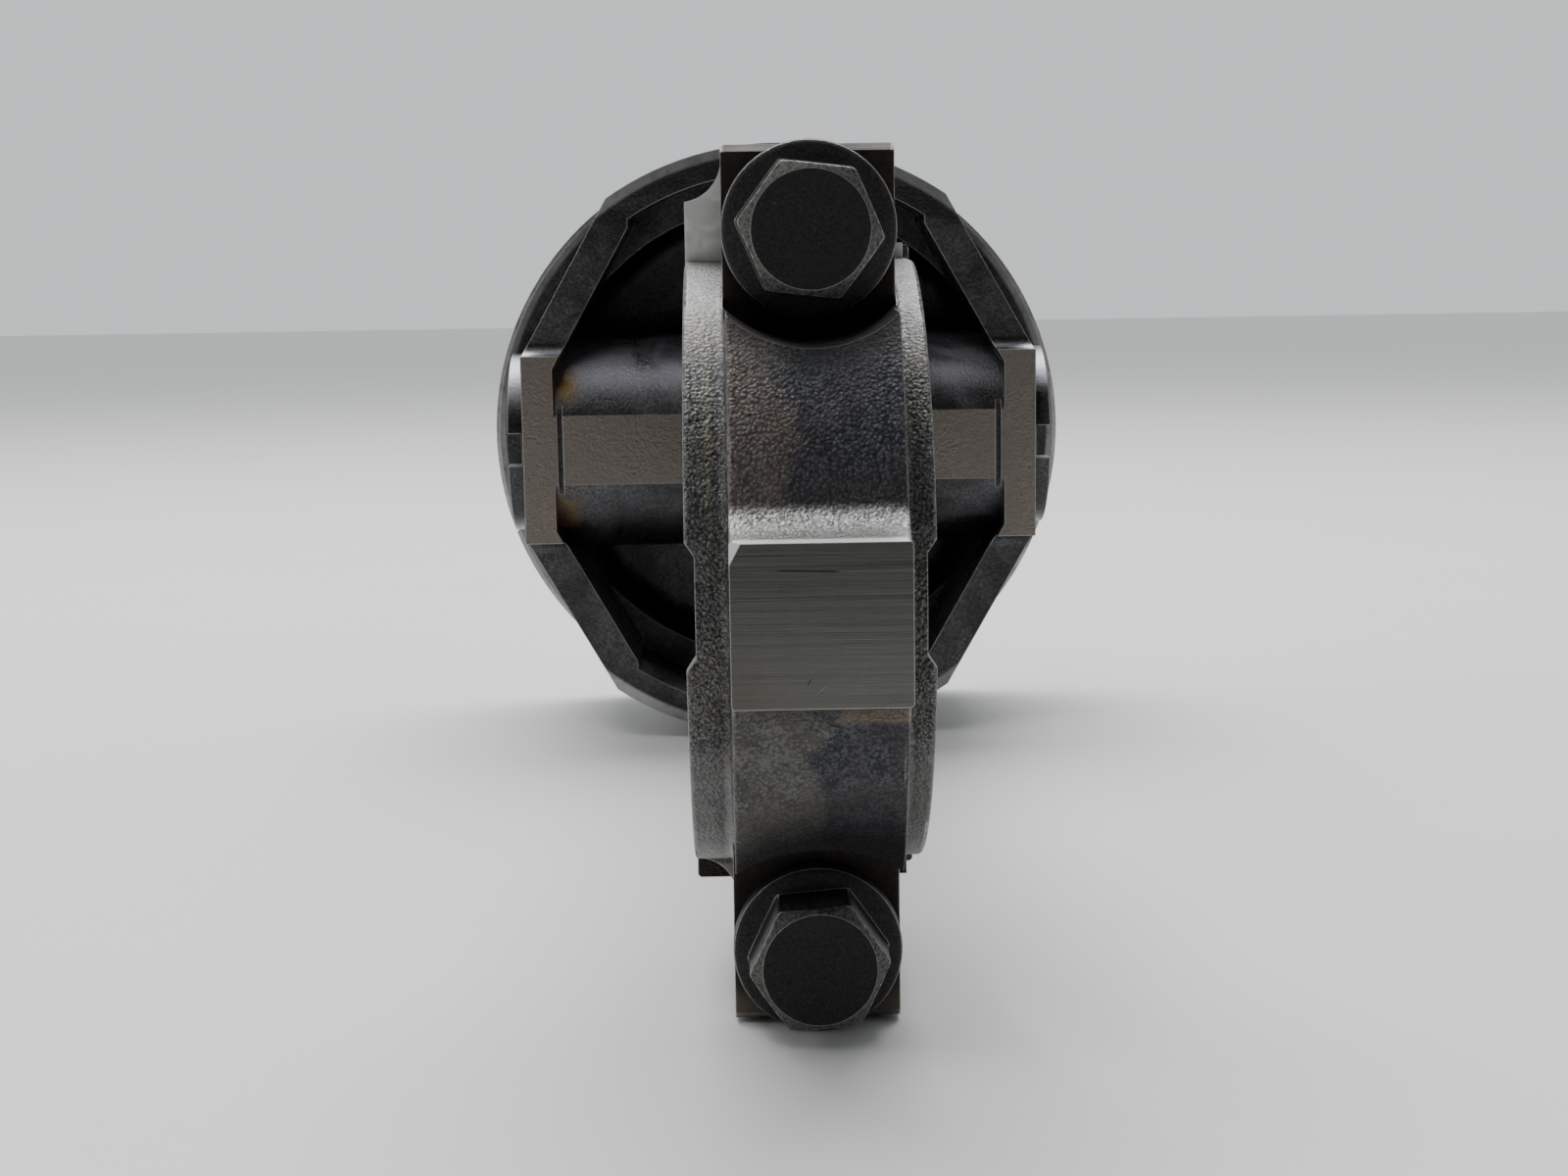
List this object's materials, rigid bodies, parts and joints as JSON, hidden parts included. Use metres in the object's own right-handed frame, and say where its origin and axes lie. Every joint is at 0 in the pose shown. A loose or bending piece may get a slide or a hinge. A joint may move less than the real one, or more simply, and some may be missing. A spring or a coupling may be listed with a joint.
{
  "type": "piston and connecting rod assembly",
  "caption": "Engine piston on a bolted-cap connecting rod with a split plain big-end bearing; it turns crank rotation into piston travel.",
  "frame": {"origin": "centre of the crankpin bore, on its axis and midway between the thrust faces", "axes": "+X along the crankpin axis, +Y along the rod from the crankpin bore to the piston crown, +Z along the line through the two cap bolts"},
  "size_m": [0.096, 0.222, 0.096],
  "materials": {
    "forged_rod": "satin",
    "forged_cap": "satin",
    "bearing_lining": "satin",
    "black_bolt": "satin",
    "dowel_steel": "satin",
    "bush_bronze": "satin",
    "polished_pin": "polished",
    "spring_wire": "satin",
    "piston_alloy": "satin",
    "ring_steel": "satin",
    "ring_iron": "satin",
    "rail_steel": "satin"
  },
  "bodies": {
    "rod": {"connecting_rod": "forged_rod", "rod_cap": "forged_cap", "rod_side_bearing_shell": "bearing_lining", "cap_side_bearing_shell": "bearing_lining", "upper_cap_bolt": "black_bolt", "lower_cap_bolt": "black_bolt", "upper_ring_dowel": "dowel_steel", "lower_ring_dowel": "dowel_steel", "small_end_bush": "bush_bronze"},
    "piston": {"piston_body": "piston_alloy", "left_pin_clip": "spring_wire", "right_pin_clip": "spring_wire"},
    "pin": {"wrist_pin": "polished_pin"},
    "top_ring": {"top_compression_ring": "ring_steel"},
    "second_ring": {"second_compression_ring": "ring_iron"},
    "oil_ring": {"oil_ring_crown_side_rail": "rail_steel", "oil_ring_expander": "rail_steel", "oil_ring_skirt_side_rail": "rail_steel"}
  },
  "joints": [
    {"name": "piston_swing", "type": "hinge", "parent": "rod", "child": "piston", "pos_m": [0, 0.15, 0], "axis": [1, 0, 0], "range_deg": [-55, 55]},
    {"name": "pin_float", "type": "hinge", "parent": "piston", "child": "pin", "pos_m": [0, 0.15, 0], "axis": [1, 0, 0], "continuous": true},
    {"name": "top_ring_turn", "type": "hinge", "parent": "piston", "child": "top_ring", "pos_m": [0, 0.17425, 0], "axis": [0, 1, 0], "continuous": true},
    {"name": "second_ring_turn", "type": "hinge", "parent": "piston", "child": "second_ring", "pos_m": [0, 0.16875, 0], "axis": [0, 1, 0], "continuous": true},
    {"name": "oil_ring_turn", "type": "hinge", "parent": "piston", "child": "oil_ring", "pos_m": [0, 0.163, 0], "axis": [0, 1, 0], "continuous": true}
  ]
}
